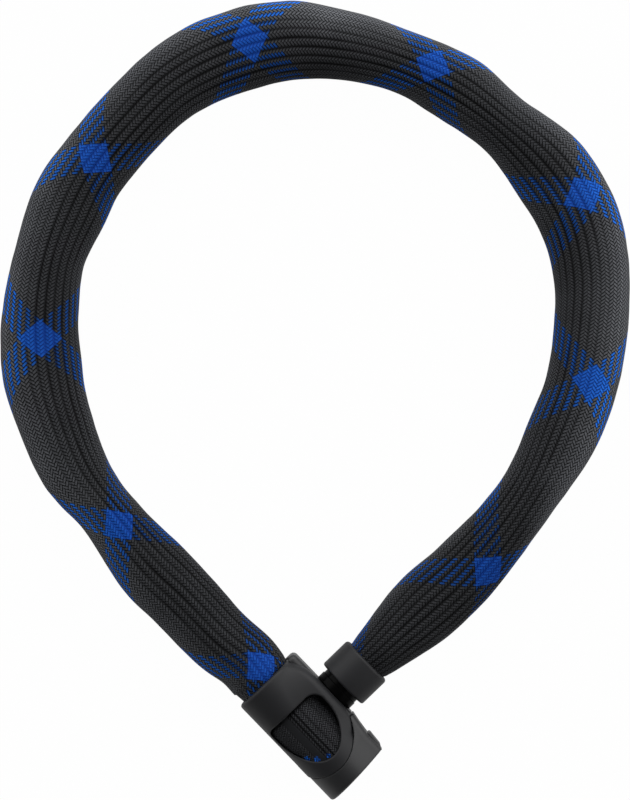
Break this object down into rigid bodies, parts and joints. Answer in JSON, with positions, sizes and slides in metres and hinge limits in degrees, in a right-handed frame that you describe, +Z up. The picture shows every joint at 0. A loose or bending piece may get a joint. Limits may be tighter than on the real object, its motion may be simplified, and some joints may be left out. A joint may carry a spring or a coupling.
{
  "type": "cable lock",
  "caption": "Bicycle cable lock closed in a loop: steel cable in a braided textile sleeve, keyed lock body with side socket, plug with round collar.",
  "frame": {"origin": "centre of the lock's footprint on the surface it lies on", "axes": "+Z up from the surface, +Y from the lock body's side towards the far end of the loop, +X to the right seen from above"},
  "size_m": [0.292, 0.37, 0.0315],
  "materials": {
    "cast_zinc": "die-cast, dull grey",
    "soft_cover": "soft-touch moulded plastic, fine texture",
    "hard_shell": "moulded plastic, fine texture",
    "braid": "braided black yarn with two crossing blue bands",
    "rubber": "black rubber",
    "steel": "plain machined steel",
    "steel_rope": "galvanised strand",
    "spring_steel": "spring steel",
    "jacket": "extruded soft plastic",
    "liner": "moulded plastic ring",
    "brass": "machined brass",
    "pin_steel": "hardened and plated steel",
    "neck_gloss": "glossy black plastic"
  },
  "bodies": {
    "lock_body": {"lock_core": "cast_zinc", "top_cover": "soft_cover", "socket_lug": "hard_shell", "end_casing": "hard_shell", "window_fabric": "braid", "socket_seal": "rubber", "cable_anchor": "steel", "anchor_pin": "steel", "fixed_clamp_ring": "liner", "fixed_cable": "steel_rope", "fixed_jacket": "jacket", "fixed_sleeve": "braid", "latch_lid": "cast_zinc", "latch_spring": "spring_steel", "cylinder_barrel": "brass", "barrel_pin": "steel", "drill_plate": "steel"},
    "bolt": {"latch": "steel"},
    "key_rotor": {"rotor": "brass", "lock_discs": "brass", "sidebar": "steel", "rotor_clip": "spring_steel", "cam": "steel"},
    "dust_cover": {"key_cover": "hard_shell"},
    "loop_arm": {"plug_pin": "pin_steel", "plug_neck": "neck_gloss", "plug_collar": "soft_cover", "plug_ferrule": "steel", "plug_cross_pin": "steel", "plug_clamp_ring": "liner", "free_cable": "steel_rope", "free_jacket": "jacket", "free_sleeve": "braid"}
  },
  "joints": [
    {"name": "loop_open", "type": "hinge", "parent": "lock_body", "child": "loop_arm", "pos_m": [-0.14625, 0.01181, 0.0135], "axis": [0, 0, 1], "range_deg": [0, 50]},
    {"name": "key_turn", "type": "hinge", "parent": "lock_body", "child": "key_rotor", "pos_m": [0.00984, -0.16553, 0.0155], "axis": [0.6947, -0.7193, 0], "range_deg": [0, 90]},
    {"name": "latch_lift", "type": "slide", "parent": "lock_body", "child": "bolt", "axis": [0, 0, 1], "range_m": [0, 0.00226], "deforming": ["latch_spring"]},
    {"name": "key_cover_slide", "type": "slide", "parent": "lock_body", "child": "dust_cover", "axis": [0.7193, 0.6947, 0], "range_m": [0, 0.0115]}
  ],
  "couplings": [
    {"joint": "latch_lift", "follows": "key_turn", "m_per_rad": 0.0014405}
  ]
}
